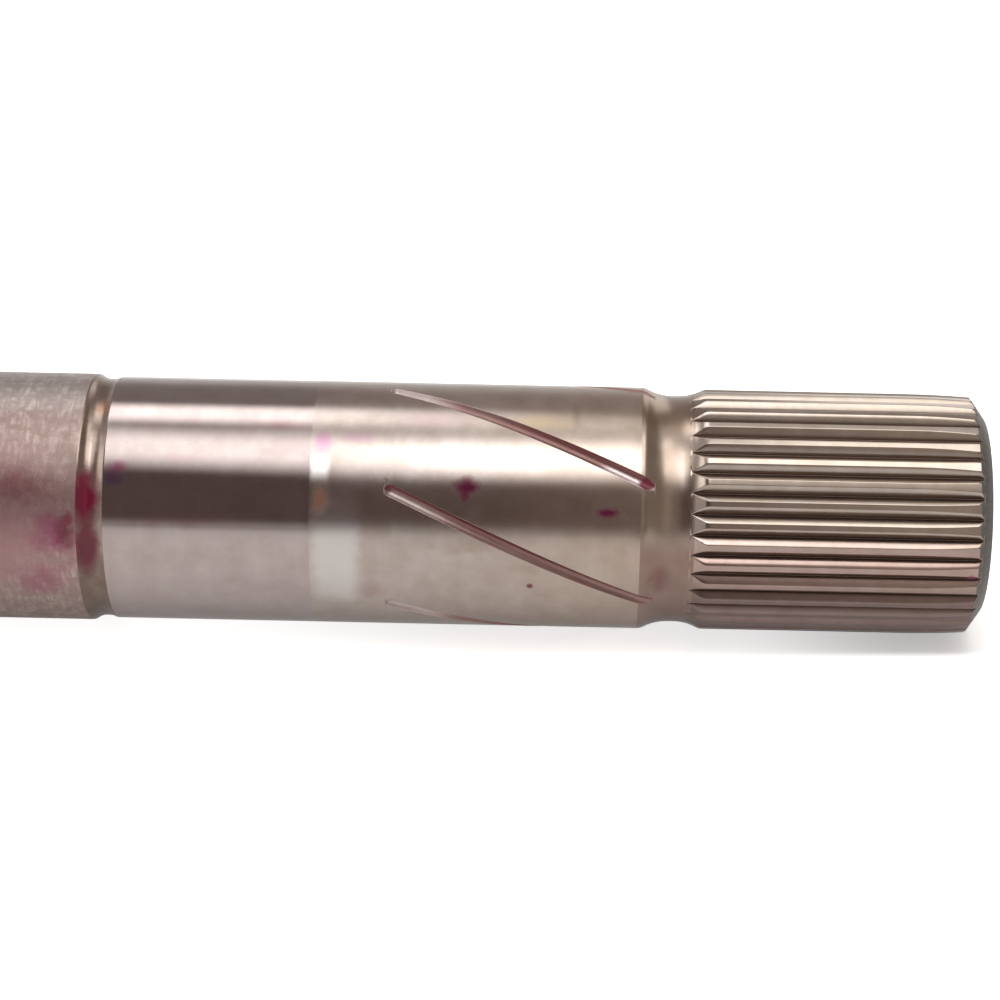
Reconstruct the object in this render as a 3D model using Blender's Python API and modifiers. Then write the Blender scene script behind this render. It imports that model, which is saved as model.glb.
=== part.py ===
"""Drive axle shaft, turned and splined from one forged bar.

The shaft lies along X with its splined end towards +X. The origin is on the axis, half way along
the bush journal. From the splined end the shaft has a lathe centre, a chamfer, 35 involute spline
teeth, a round relief neck, the ground journal with its helical oil grooves, a narrow undercut and
the raw bar, which ends in a plain chamfered face with the second lathe centre.
"""

import math

import bmesh
import bpy
from mathutils import Matrix, Vector

MM = 0.001
INCH = 0.0254

# Raw bar
OVERALL_LENGTH = 440 * MM
BAR_DIAMETER = 39.14 * MM
BAR_END_CHAMFER = 2.0 * MM

# Ground journal: seal track on its inner half, grooved bush seat on its outer half
JOURNAL_DIAMETER = 38.36 * MM
JOURNAL_LENGTH = 82.2 * MM

# Undercut between the journal and the raw bar
UNDERCUT_DEPTH = 0.37 * MM
UNDERCUT_FLOOR_LENGTH = 0.35 * MM
UNDERCUT_FORM_RADIUS = 2.9 * MM
UNDERCUT_EDGE_RADIUS = 0.5 * MM

# Relief neck between the journal and the spline
NECK_DEPTH = 1.09 * MM
NECK_FLOOR_LENGTH = 1.0 * MM
NECK_FORM_RADIUS = 8.0 * MM
NECK_EDGE_RADIUS = 2.5 * MM

# Involute spline with fillet root arcs
SPLINE_TEETH = 35
SPLINE_MODULE = INCH / 24
SPLINE_PRESSURE_ANGLE = math.radians(45)
SPLINE_ADDENDUM = SPLINE_MODULE * 0.5
SPLINE_DEDENDUM = SPLINE_MODULE * 0.63
SPLINE_FORM_DEPTH = SPLINE_MODULE * 0.5
SPLINE_LENGTH = 43.75 * MM
SPLINE_CLOCKING = math.radians(9.36)

# Spline ends: the lead-in at the face, and the arc on which the tooth spaces run out in the neck
LEAD_LENGTH = 10.3 * MM
LEAD_DEPTH = 0.31 * MM
FACE_CHAMFER_LENGTH = 2.3 * MM
FACE_CHAMFER_DEPTH = 3.24 * MM
RUNOUT_OVERTRAVEL = 1.25 * MM
RUNOUT_RADIUS = 4.0 * MM

# Right-hand helical oil grooves, cut from the middle of the journal out into the neck
GROOVE_COUNT = 6
GROOVE_WIDTH = 1.75 * MM
GROOVE_DEPTH = 0.7 * MM
GROOVE_REACH = 38.3 * MM
GROOVE_LEAD = 259 * MM
GROOVE_CLOCKING = math.radians(30.4)

# Lathe centres
CENTRE_MOUTH_DIAMETER = 12.0 * MM
CENTRE_CONE_ANGLE = math.radians(60)
CENTRE_PILOT_DIAMETER = 5.0 * MM
CENTRE_PILOT_LENGTH = 5.0 * MM

# Fineness of the mesh
SEGMENTS_PER_TOOTH = 2
EDGE_STEPS = 2
FLOOR_STEPS = 3
LEAD_STEPS = 3
FLANK_STEPS = 2
ROOT_STEPS = 4
RUNOUT_STEPS = 4
GROOVE_STEP_ANGLE = math.radians(4)
GROOVE_BEVEL_RESOLUTION = 4
NOSE_STEPS = 3
SHARP_ANGLE = math.radians(28)
CUT_CLEARANCE = 0.2 * MM
MERGE_DISTANCE = 0.001 * MM

# Radii and stations along X that follow from the sizes above
BAR_RADIUS = BAR_DIAMETER / 2
JOURNAL_RADIUS = JOURNAL_DIAMETER / 2
PITCH_RADIUS = SPLINE_TEETH * SPLINE_MODULE / 2
BASE_RADIUS = PITCH_RADIUS * math.cos(SPLINE_PRESSURE_ANGLE)
SPLINE_RADIUS = PITCH_RADIUS + SPLINE_ADDENDUM
ROOT_RADIUS = PITCH_RADIUS - SPLINE_DEDENDUM
FORM_RADIUS = PITCH_RADIUS - SPLINE_FORM_DEPTH
NECK_RADIUS = min(JOURNAL_RADIUS, SPLINE_RADIUS) - NECK_DEPTH
UNDERCUT_RADIUS = min(JOURNAL_RADIUS, BAR_RADIUS) - UNDERCUT_DEPTH


class Relief:
    """A round-bottomed turned relief: two form arcs with rounded edges and a straight floor between them."""

    def __init__(self, floor_radius, form_radius, edge_radius):
        self.floor_radius = floor_radius
        self.form_radius = form_radius
        self.edge_radius = edge_radius

    def turn(self, land_radius):
        """Angle that the form arc turns through to reach a land of this radius, 90 degrees on a deep one."""
        drop = self.floor_radius + self.form_radius - (land_radius - self.edge_radius)
        return math.acos(max(drop, 0) / (self.form_radius + self.edge_radius))

    def reach(self, land_radius):
        """Length along X from the end of the floor to the land."""
        return (self.form_radius + self.edge_radius) * math.sin(self.turn(land_radius))

    def half(self, floor_end, land_radius, side):
        """Points from the land down to the end of the floor; the land is on this side of it, +1 or -1."""
        turn = self.turn(land_radius)
        land_end = floor_end + side * self.reach(land_radius)
        points = []
        for step in range(EDGE_STEPS + 1):
            angle = turn * step / EDGE_STEPS
            x = land_end - side * self.edge_radius * math.sin(angle)
            points.append((x, land_radius - self.edge_radius * (1 - math.cos(angle))))
        for step in range(FLOOR_STEPS + 1):
            angle = turn * (1 - step / FLOOR_STEPS)
            x = floor_end + side * self.form_radius * math.sin(angle)
            points.append((x, self.floor_radius + self.form_radius * (1 - math.cos(angle))))
        return points


NECK = Relief(NECK_RADIUS, NECK_FORM_RADIUS, NECK_EDGE_RADIUS)
UNDERCUT = Relief(UNDERCUT_RADIUS, UNDERCUT_FORM_RADIUS, UNDERCUT_EDGE_RADIUS)

JOURNAL_OUTER_END = JOURNAL_LENGTH / 2
JOURNAL_INNER_END = -JOURNAL_LENGTH / 2
NECK_INNER_FLOOR = JOURNAL_OUTER_END + NECK.reach(JOURNAL_RADIUS)
NECK_OUTER_FLOOR = NECK_INNER_FLOOR + NECK_FLOOR_LENGTH
SPLINE_START = NECK_OUTER_FLOOR + NECK.reach(SPLINE_RADIUS)
SPLINED_FACE = SPLINE_START + SPLINE_LENGTH
UNDERCUT_OUTER_FLOOR = JOURNAL_INNER_END - UNDERCUT.reach(JOURNAL_RADIUS)
UNDERCUT_INNER_FLOOR = UNDERCUT_OUTER_FLOOR - UNDERCUT_FLOOR_LENGTH
PLAIN_FACE = SPLINED_FACE - OVERALL_LENGTH


def clear_scene():
    """Removes whatever the scene holds."""
    for obj in list(bpy.data.objects):
        bpy.data.objects.remove(obj, do_unlink=True)


def new_collection(name):
    """Adds a collection to the scene."""
    collection = bpy.data.collections.new(name)
    bpy.context.scene.collection.children.link(collection)
    return collection


def centre_hole(face, inward):
    """Points of a lathe centre from its bottom on the axis to its mouth; inward is the sign of X into the shaft."""
    mouth = CENTRE_MOUTH_DIAMETER / 2
    pilot = CENTRE_PILOT_DIAMETER / 2
    cone_depth = (mouth - pilot) / math.tan(CENTRE_CONE_ANGLE / 2)
    bottom = face + inward * (cone_depth + CENTRE_PILOT_LENGTH)
    return [(bottom, 0.0), (bottom, pilot), (face + inward * cone_depth, pilot), (face, mouth)]


def spline_lead():
    """Points along the spline's outside, from the face edge over the chamfer and the lead-in to its full size."""
    chamfer_end = SPLINED_FACE - FACE_CHAMFER_LENGTH
    points = [(SPLINED_FACE, SPLINE_RADIUS - LEAD_DEPTH - FACE_CHAMFER_DEPTH)]
    for step in range(LEAD_STEPS + 1):
        share = step / LEAD_STEPS
        points.append((chamfer_end - LEAD_LENGTH * share, SPLINE_RADIUS - LEAD_DEPTH * (1 - share) ** 2))
    return points


def turned_profile():
    """The turned outline as (x, radius), from the axis at the splined end to the axis at the plain end."""
    points = centre_hole(SPLINED_FACE, -1) + spline_lead()
    points += NECK.half(NECK_OUTER_FLOOR, SPLINE_RADIUS, +1)
    points += reversed(NECK.half(NECK_INNER_FLOOR, JOURNAL_RADIUS, -1))
    points += UNDERCUT.half(UNDERCUT_OUTER_FLOOR, JOURNAL_RADIUS, +1)
    points += reversed(UNDERCUT.half(UNDERCUT_INNER_FLOOR, BAR_RADIUS, -1))
    points += [(PLAIN_FACE + BAR_END_CHAMFER, BAR_RADIUS), (PLAIN_FACE, BAR_RADIUS - BAR_END_CHAMFER)]
    points += reversed(centre_hole(PLAIN_FACE, +1))
    return without_repeats(points)


def without_repeats(points):
    """The same outline with each point that lies on the one before it left out, as where two arcs meet."""
    kept = points[:1]
    for point in points[1:]:
        if math.dist(point, kept[-1]) > MERGE_DISTANCE:
            kept.append(point)
    return kept


def involute(angle):
    """The involute function of a pressure angle."""
    return math.tan(angle) - angle


def space_half_angle(radius):
    """Half of the angle that a tooth space takes at a radius; below the base circle its flanks are radial."""
    pressure_angle = math.acos(min(1.0, BASE_RADIUS / radius))
    tooth_half_angle = math.pi / (2 * SPLINE_TEETH)
    tooth_half_angle += involute(SPLINE_PRESSURE_ANGLE) - involute(pressure_angle)
    return math.pi / SPLINE_TEETH - tooth_half_angle


def tooth_space_outline():
    """Closed outline of one tooth space as (across, out from the axis): a flank, the root arc, the other flank.

    Outside the spline the cutter's sides are radial, so that neighbouring cutters stay apart.
    """
    top = SPLINE_RADIUS + CUT_CLEARANCE
    edge_angle = space_half_angle(SPLINE_RADIUS)
    flank = [(top * math.sin(edge_angle), top * math.cos(edge_angle))]
    for step in range(FLANK_STEPS + 1):
        radius = SPLINE_RADIUS + (FORM_RADIUS - SPLINE_RADIUS) * step / FLANK_STEPS
        half_angle = space_half_angle(radius)
        flank.append((radius * math.sin(half_angle), radius * math.cos(half_angle)))
    half_width, form_height = flank[-1]
    depth = form_height - ROOT_RADIUS
    arc_radius = (half_width**2 + depth**2) / (2 * depth)
    arc_angle = 2 * math.atan2(depth, half_width)
    root = []
    for step in range(1, ROOT_STEPS):
        angle = arc_angle * (1 - 2 * step / ROOT_STEPS)
        root.append((arc_radius * math.sin(angle), ROOT_RADIUS + arc_radius * (1 - math.cos(angle))))
    return flank + root + [(-across, out) for across, out in reversed(flank)]


def add_tooth_space(mesh, angle):
    """Adds one tooth-space cutter: the outline drawn along the spline, then turned outwards on the run-out arc."""
    around = Matrix.Rotation(angle, 3, "X")
    start = SPLINED_FACE + CUT_CLEARANCE
    full_depth_end = SPLINE_START - RUNOUT_OVERTRAVEL
    corners = [mesh.verts.new(around @ Vector((start, out, across))) for across, out in tooth_space_outline()]
    face = mesh.faces.new(corners)
    drawn = bmesh.ops.extrude_face_region(mesh, geom=[face])["geom"]
    drawn_corners = [item for item in drawn if isinstance(item, bmesh.types.BMVert)]
    drawn_faces = [item for item in drawn if isinstance(item, bmesh.types.BMFace)]
    bmesh.ops.translate(mesh, verts=drawn_corners, vec=(full_depth_end - start, 0, 0))
    bmesh.ops.spin(
        mesh,
        geom=drawn_faces,
        cent=around @ Vector((full_depth_end, ROOT_RADIUS + RUNOUT_RADIUS, 0)),
        axis=around @ Vector((0, 0, -1)),
        angle=runout_angle(),
        steps=RUNOUT_STEPS,
    )
    bmesh.ops.delete(mesh, geom=drawn_faces, context="FACES_ONLY")


def runout_angle():
    """Angle of the run-out arc at which the tooth space has left the spline's outside."""
    rise = SPLINE_RADIUS + CUT_CLEARANCE - ROOT_RADIUS
    return math.acos(max(0.0, 1 - rise / RUNOUT_RADIUS))


def add_cutter(name, mesh, collection):
    """Makes a cutter object of a mesh: shown as wire, and left out of renders."""
    cutter = bpy.data.objects.new(name, mesh)
    cutter.hide_render = True
    cutter.display_type = "WIRE"
    collection.objects.link(cutter)
    return cutter


def tooth_space_cutters(collection):
    """One object with a cutter for every tooth space."""
    build = bmesh.new()
    for index in range(SPLINE_TEETH):
        add_tooth_space(build, SPLINE_CLOCKING + (index + 0.5) * math.tau / SPLINE_TEETH)
    bmesh.ops.recalc_face_normals(build, faces=build.faces)
    mesh = bpy.data.meshes.new("tooth_space_cutters")
    build.to_mesh(mesh)
    build.free()
    return add_cutter("tooth_space_cutters", mesh, collection)


def groove_path(index, ball_radius):
    """Centre line of one ball-nosed groove cutter: a helix that ends over the floor of the neck."""
    start = JOURNAL_OUTER_END - GROOVE_REACH
    path_radius = JOURNAL_RADIUS - GROOVE_DEPTH + ball_radius
    turned = math.tau * (NECK_INNER_FLOOR - start) / GROOVE_LEAD
    steps = max(2, round(turned / GROOVE_STEP_ANGLE))
    first = GROOVE_CLOCKING + index * math.tau / GROOVE_COUNT
    points = []
    for step in range(steps + 1):
        angle = first + turned * step / steps
        x = start + (NECK_INNER_FLOOR - start) * step / steps
        points.append(Vector((x, path_radius * math.cos(angle), path_radius * math.sin(angle))))
    return points


def add_groove_curve(index, collection):
    """A round bar bent along one groove, with the round nose of the cutter at its start."""
    half_width = GROOVE_WIDTH / 2
    ball_radius = (half_width**2 + GROOVE_DEPTH**2) / (2 * GROOVE_DEPTH)
    path = groove_path(index, ball_radius)
    backwards = (path[0] - path[1]).normalized()
    nose_angles = [math.pi / 2 * step / NOSE_STEPS for step in range(NOSE_STEPS - 1, 0, -1)]
    nose = [path[0] + backwards * ball_radius * math.sin(angle) for angle in nose_angles]
    curve = bpy.data.curves.new("groove_path", "CURVE")
    curve.dimensions = "3D"
    curve.bevel_depth = ball_radius
    curve.bevel_resolution = GROOVE_BEVEL_RESOLUTION
    curve.use_fill_caps = True
    spline = curve.splines.new("POLY")
    spline.points.add(len(nose) + len(path) - 1)
    for point, place in zip(spline.points, nose + path):
        point.co = (*place, 1)
    for point, angle in zip(spline.points, nose_angles):
        point.radius = math.cos(angle)
    guide = bpy.data.objects.new("groove_path", curve)
    collection.objects.link(guide)
    return guide


def groove_cutters(collection):
    """One object with a cutter for every oil groove."""
    build = bmesh.new()
    for index in range(GROOVE_COUNT):
        guide = add_groove_curve(index, collection)
        bpy.context.view_layer.update()
        graph = bpy.context.evaluated_depsgraph_get()
        swept = bpy.data.meshes.new_from_object(guide.evaluated_get(graph))
        swept.transform(guide.matrix_world)
        build.from_mesh(swept)
        bpy.data.objects.remove(guide, do_unlink=True)
        bpy.data.meshes.remove(swept)
    bmesh.ops.remove_doubles(build, verts=build.verts, dist=MERGE_DISTANCE)
    bmesh.ops.recalc_face_normals(build, faces=build.faces)
    mesh = bpy.data.meshes.new("groove_cutters")
    build.to_mesh(mesh)
    build.free()
    return add_cutter("groove_cutters", mesh, collection)


def steel():
    """Bare turned and ground steel with a light brown film of oil."""
    material = bpy.data.materials.new("bare_steel")
    material.use_nodes = True
    shader = material.node_tree.nodes["Principled BSDF"]
    shader.inputs["Base Color"].default_value = (0.42, 0.36, 0.33, 1)
    shader.inputs["Metallic"].default_value = 1.0
    shader.inputs["Roughness"].default_value = 0.28
    return material


def turned_blank(collection):
    """The shaft as it leaves the lathe: the turned outline swept about X, with a vertex row on every tooth."""
    around = Matrix.Rotation(SPLINE_CLOCKING, 3, "X")
    outline = [around @ Vector((x, radius, 0)) for x, radius in turned_profile()]
    mesh = bpy.data.meshes.new("axle_shaft")
    mesh.from_pydata(outline, [(i, i + 1) for i in range(len(outline) - 1)], [])
    blank = bpy.data.objects.new("axle_shaft", mesh)
    collection.objects.link(blank)
    turn = blank.modifiers.new("turn", "SCREW")
    turn.axis = "X"
    turn.steps = SEGMENTS_PER_TOOTH * SPLINE_TEETH
    turn.render_steps = turn.steps
    turn.use_merge_vertices = True
    turn.merge_threshold = MERGE_DISTANCE
    return blank


def cut(blank, cutter):
    """Takes a cutter's shape out of the shaft."""
    boolean = blank.modifiers.new(cutter.name, "BOOLEAN")
    boolean.operation = "DIFFERENCE"
    boolean.solver = "EXACT"
    boolean.object = cutter


def keep_shape(obj):
    """Turns the modifiers' result into the object's own mesh, shaded smooth with its real edges sharp."""
    bpy.context.view_layer.update()
    graph = bpy.context.evaluated_depsgraph_get()
    mesh = bpy.data.meshes.new_from_object(obj.evaluated_get(graph))
    mesh.name = obj.name
    mesh.shade_smooth()
    mesh.set_sharp_from_angle(angle=SHARP_ANGLE)
    obj.modifiers.clear()
    obj.data = mesh


def main():
    """Turns the blank, cuts the spline and the oil grooves, and gives it its steel."""
    clear_scene()
    parts = new_collection("axle_shaft")
    cutters = new_collection("cutters")
    shaft = turned_blank(parts)
    cut(shaft, tooth_space_cutters(cutters))
    cut(shaft, groove_cutters(cutters))
    keep_shape(shaft)
    shaft.data.materials.append(steel())


main()
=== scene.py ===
"""Axle shaft: the finished skin, its steel finishes and a pale studio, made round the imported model.

Lengths are in millimetres and angles in degrees until they reach Blender. Angles round the shaft are
counted from +Y towards +Z.
"""

import logging
import math
from collections.abc import Iterable
from dataclasses import dataclass, field
from enum import Enum

import bmesh
import bpy
from mathutils import Matrix, Vector


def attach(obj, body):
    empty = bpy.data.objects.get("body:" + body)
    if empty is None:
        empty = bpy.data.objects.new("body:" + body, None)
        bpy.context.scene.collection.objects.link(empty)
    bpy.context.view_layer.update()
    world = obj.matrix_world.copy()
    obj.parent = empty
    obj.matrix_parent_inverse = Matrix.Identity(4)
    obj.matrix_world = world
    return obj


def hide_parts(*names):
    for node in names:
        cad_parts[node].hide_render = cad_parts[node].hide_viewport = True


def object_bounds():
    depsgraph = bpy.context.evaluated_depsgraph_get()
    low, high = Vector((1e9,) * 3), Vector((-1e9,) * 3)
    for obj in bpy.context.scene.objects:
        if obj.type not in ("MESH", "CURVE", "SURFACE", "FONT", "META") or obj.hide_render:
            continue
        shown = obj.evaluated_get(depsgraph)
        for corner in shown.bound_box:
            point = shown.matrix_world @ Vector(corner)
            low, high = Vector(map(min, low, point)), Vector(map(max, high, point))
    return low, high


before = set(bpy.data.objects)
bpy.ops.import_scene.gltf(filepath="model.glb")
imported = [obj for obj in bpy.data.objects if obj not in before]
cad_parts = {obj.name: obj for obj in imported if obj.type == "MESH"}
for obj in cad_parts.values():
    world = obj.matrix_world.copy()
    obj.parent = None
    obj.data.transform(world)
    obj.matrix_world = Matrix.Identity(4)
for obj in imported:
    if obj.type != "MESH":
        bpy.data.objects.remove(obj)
CAD_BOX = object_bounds()

LOG = logging.getLogger("axle_shaft")

MM = 0.001
INCH = 25.4

# Corners round the skin: 18 to each of the 35 teeth, which is also 105 to each of the 6 grooves
COLUMNS = 630
COLUMN_ANGLE = 360 / COLUMNS
WELD = 0.0005
SMOOTH_BELOW = 42
CUT_ATTRIBUTE = "cut_depth"
SIDE_ATTRIBUTE = "cut_side"
# A face is cut where its mean share of the cut's depth is over this
LEAST_CUT = 0.01
SEARCH_STEPS = 30

# The camera stands this far above the horizon, in front of the shaft
VIEW_ELEVATION = 24.0
VIEW_ANGLE = 180.0 - VIEW_ELEVATION

# The broad bands among the turning lines, the grain among the blotches and the stains' ragged edges
BAND_SCALE = 0.12
GRAIN_SCALE = 9.0
RAGGED_SCALE = 360.0
# Levels of the noise between which the streaks and the hatching come up
STREAK_BAND = (0.35, 0.65)
HATCH_BAND = (0.4, 0.62)
# Shares of a cut's depth between which it gets rougher, and where the root's painted shade is full
ROUGH_CUT = (0.05, 0.4)
ROOT_SHADE_CUT = 0.98
# Places across a groove, -1 at its upper edge to 1 at its lower one, over which the upper wall's painted
# shade and the lower wall's painted highlight fade
UPPER_WALL_SHADE = (-0.5, 0.3)
LOWER_WALL_HIGHLIGHT = (-0.3, 0.2)
# Angle round the shaft over which the upper walls' painted shade fades out
WALL_SHADE_FADE = 8.0

Socket = bpy.types.NodeSocket
Level = float | Socket
Colour = tuple[float, float, float]
Tint = Colour | Socket


class Finish(Enum):
    """The shaft's surfaces, in the order of its material slots."""

    FORGED = 0
    UNDERCUT = 1
    SEAL_TRACK = 2
    GROUND = 3
    GROOVE = 4
    NECK = 5
    SPLINE = 6
    END_FACE = 7


@dataclass(frozen=True)
class Station:
    """One ring of the turned outline: its place along X and its radius."""

    x: float
    radius: float


def spread(first: float, last: float, steps: int) -> list[float]:
    """Values at even steps.

    Args:
        first: the value before the first step, which is left out.
        last: the value after the last step.
        steps: how many values there are.

    Returns:
        The values.
    """
    return [first + (last - first) * step / steps for step in range(1, steps + 1)]


class Skin:
    """A skin of rings, drawn out along X in edit mode and then shaped corner by corner."""

    def __init__(self, name: str, start: Station, angle: float, columns: int) -> None:
        """Adds the first ring, or the arc of it that a repeated sector needs.

        Args:
            name: name of the object.
            start: the first ring.
            angle: angle of the ring's first corner.
            columns: how many corners the ring has; fewer than COLUMNS leaves an arc.
        """
        bpy.ops.object.select_all(action="DESELECT")
        bpy.ops.mesh.primitive_circle_add(
            vertices=COLUMNS,
            radius=start.radius * MM,
            location=(start.x * MM, 0, 0),
            rotation=(0, math.pi / 2, 0),
        )
        bpy.ops.object.transform_apply(location=True, rotation=True, scale=True)
        self.body = bpy.context.object
        self.body.name = name
        self.columns = columns
        self.rings = [start]
        bpy.ops.object.mode_set(mode="EDIT")
        bpy.ops.mesh.select_mode(type="VERT")
        self.build = bmesh.from_edit_mesh(self.body.data)
        if columns < COLUMNS:
            self._pick(vert for vert in self.build.verts if vert.index >= columns)
            bpy.ops.mesh.delete(type="VERT")
            bpy.ops.object.mode_set(mode="OBJECT")
            bpy.ops.object.mode_set(mode="EDIT")
        bpy.ops.mesh.select_all(action="SELECT")
        self._turn(angle)

    def _pick(self, verts: Iterable[bmesh.types.BMVert]) -> None:
        """Selects these corners and nothing else."""
        bpy.ops.mesh.select_all(action="DESELECT")
        for vert in verts:
            vert.select_set(True)

    def _turn(self, angle: float) -> None:
        """Turns what is selected about the shaft's axis, from +Y towards +Z."""
        bpy.ops.transform.rotate(
            value=-math.radians(angle), orient_axis="X", orient_type="GLOBAL", center_override=(0, 0, 0)
        )

    def _swell(self, factor: float) -> None:
        """Moves what is selected out from the shaft's axis, or in to it."""
        bpy.ops.transform.resize(
            value=(1, factor, factor), orient_type="GLOBAL", center_override=(0, 0, 0)
        )

    def draw(self, station: Station, turn: float = 0.0) -> None:
        """Draws the last ring out to the next station.

        Args:
            station: the next ring.
            turn: how far the ring turns on the way.
        """
        step = (station.x - self.rings[-1].x) * MM
        bpy.ops.mesh.extrude_region_move(
            TRANSFORM_OT_translate={"value": (step, 0, 0), "orient_type": "GLOBAL"}
        )
        if turn:
            self._turn(turn)
        self._swell(station.radius / self.rings[-1].radius)
        self.rings.append(station)

    def freeze(self) -> None:
        """Ends the drawing, so that corners can be shaped, and adds their attributes."""
        bpy.ops.mesh.select_all(action="DESELECT")
        self.build = bmesh.from_edit_mesh(self.body.data)
        self.cut = self.build.verts.layers.float.new(CUT_ATTRIBUTE)
        self.side = self.build.verts.layers.float.new(SIDE_ATTRIBUTE)
        self.build.verts.ensure_lookup_table()

    def shape(self, ring: int, column: int, turn: float, radius: float, cut: float, side: float) -> None:
        """Moves one corner round the axis and out from it.

        Args:
            ring: index of the corner's ring.
            column: index of the corner in its ring.
            turn: angle to move it by.
            radius: its new distance from the axis.
            cut: its share of the cut's full depth.
            side: which wall of the cut it is on, -1 to 1.
        """
        vert = self.build.verts[ring * self.columns + column]
        vert.select_set(True)
        vert[self.cut] = cut
        vert[self.side] = side
        self._turn(turn)
        self._swell(radius / self.rings[ring].radius)
        vert.select_set(False)

    def close(self, copies: int) -> None:
        """Repeats a sector round the axis, and leaves edit mode.

        Args:
            copies: how many sectors make the full round.
        """
        if copies > 1:
            bpy.ops.mesh.select_all(action="SELECT")
            bpy.ops.mesh.spin(
                steps=copies - 1,
                dupli=True,
                angle=math.tau * (copies - 1) / copies,
                use_auto_merge=False,
                center=(0, 0, 0),
                axis=(1, 0, 0),
            )
        bpy.ops.object.mode_set(mode="OBJECT")


@dataclass(frozen=True)
class Relief:
    """A round-bottomed turned relief: form arcs up from a straight floor, with rounded edges."""

    floor_radius: float
    form_radius: float
    edge_radius: float

    def turn(self, land: float) -> float:
        """Angle in radians that the form arc turns through to reach a land of this radius."""
        drop = self.floor_radius + self.form_radius - (land - self.edge_radius)
        return math.acos(max(drop, 0) / (self.form_radius + self.edge_radius))

    def reach(self, land: float) -> float:
        """Length along X from the end of the floor to the land."""
        return (self.form_radius + self.edge_radius) * math.sin(self.turn(land))

    def radius_at(self, distance: float, land: float) -> float:
        """Radius of the outline between the end of the floor and the land.

        Args:
            distance: length along X from the end of the floor.
            land: radius of the land.

        Returns:
            The radius there.
        """
        if distance <= self.form_radius * math.sin(self.turn(land)):
            return self.floor_radius + self.form_radius - math.sqrt(self.form_radius**2 - distance**2)
        back = max(self.reach(land) - distance, 0)
        return land - self.edge_radius + math.sqrt(self.edge_radius**2 - back**2)


@dataclass(frozen=True)
class LatheCentre:
    """The centre hole that a lathe leaves in an end face."""

    mouth_radius: float = 6.0
    pilot_radius: float = 2.5
    cone_angle: float = 60.0
    pilot_length: float = 5.0
    rim: float = 0.12

    def stations(self, face: float, inward: int) -> list[Station]:
        """Rings from the bottom of the pilot hole to the rim of the mouth.

        Args:
            face: place of the end face along X.
            inward: sign of X into the shaft.

        Returns:
            The rings.
        """
        slope = math.tan(math.radians(self.cone_angle / 2))
        cone = (self.mouth_radius - self.pilot_radius) / slope
        bottom = face + inward * (cone + self.pilot_length)
        return [
            Station(bottom, self.pilot_radius),
            Station(face + inward * (cone + self.rim), self.pilot_radius),
            Station(face + inward * (cone - self.rim), self.pilot_radius + self.rim * slope),
            Station(face + inward * self.rim, self.mouth_radius - self.rim * slope),
            Station(face, self.mouth_radius + self.rim),
        ]


@dataclass(frozen=True)
class Journal:
    """The ground journal: a polished seal track on its inner half and the grooved seat on its outer half."""

    radius: float = 19.18
    length: float = 82.2
    seal_track_end: float = -9.6

    def outer_end(self) -> float:
        """Place of its outer edge along X."""
        return self.length / 2

    def inner_end(self) -> float:
        """Place of its inner edge along X."""
        return -self.length / 2


@dataclass(frozen=True)
class ForgedBar:
    """The raw bar and the undercut turned between it and the journal."""

    radius: float = 19.57
    end_chamfer: float = 2.0
    edge_break: float = 0.12
    undercut_floor_length: float = 0.35
    undercut: Relief = Relief(18.81, 2.9, 0.5)
    bar_rings: int = 12
    arc_rings: int = 7

    def undercut_floor(self, journal: Journal) -> tuple[float, float]:
        """Places along X where the floor of the undercut begins and ends."""
        end = journal.inner_end() - self.undercut.reach(journal.radius)
        return end - self.undercut_floor_length, end

    def end(self, journal: Journal) -> float:
        """Place along X where the raw bar ends and the undercut begins."""
        return self.undercut_floor(journal)[0] - self.undercut.reach(self.radius)

    def stations(self, plain_face: float, journal: Journal) -> list[Station]:
        """Rings from the plain end face over the bar and the undercut to the journal."""
        nick = self.edge_break
        begin, end = self.undercut_floor(journal)
        shoulder = plain_face + self.end_chamfer
        rings = [
            Station(plain_face, self.radius - self.end_chamfer - nick),
            Station(plain_face + nick, self.radius - self.end_chamfer + nick / 2),
            Station(shoulder - nick, self.radius - nick * 1.2),
            Station(shoulder + nick, self.radius - nick / 8),
            Station(shoulder + nick * 4, self.radius),
        ]
        bar = spread(shoulder + nick * 4, self.end(journal) - nick * 3, self.bar_rings)
        rings += [Station(x, self.radius) for x in bar]
        rings += [
            Station(begin - reach, self.undercut.radius_at(reach, self.radius))
            for reach in reversed([0.0, *spread(0, self.undercut.reach(self.radius), self.arc_rings)])
        ]
        rings += [
            Station(end + reach, self.undercut.radius_at(reach, journal.radius))
            for reach in [0.0, *spread(0, self.undercut.reach(journal.radius), self.arc_rings)]
        ]
        rings += [Station(journal.inner_end() + nick, journal.radius)]
        rings += [Station(journal.seal_track_end, journal.radius)]
        return rings


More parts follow.
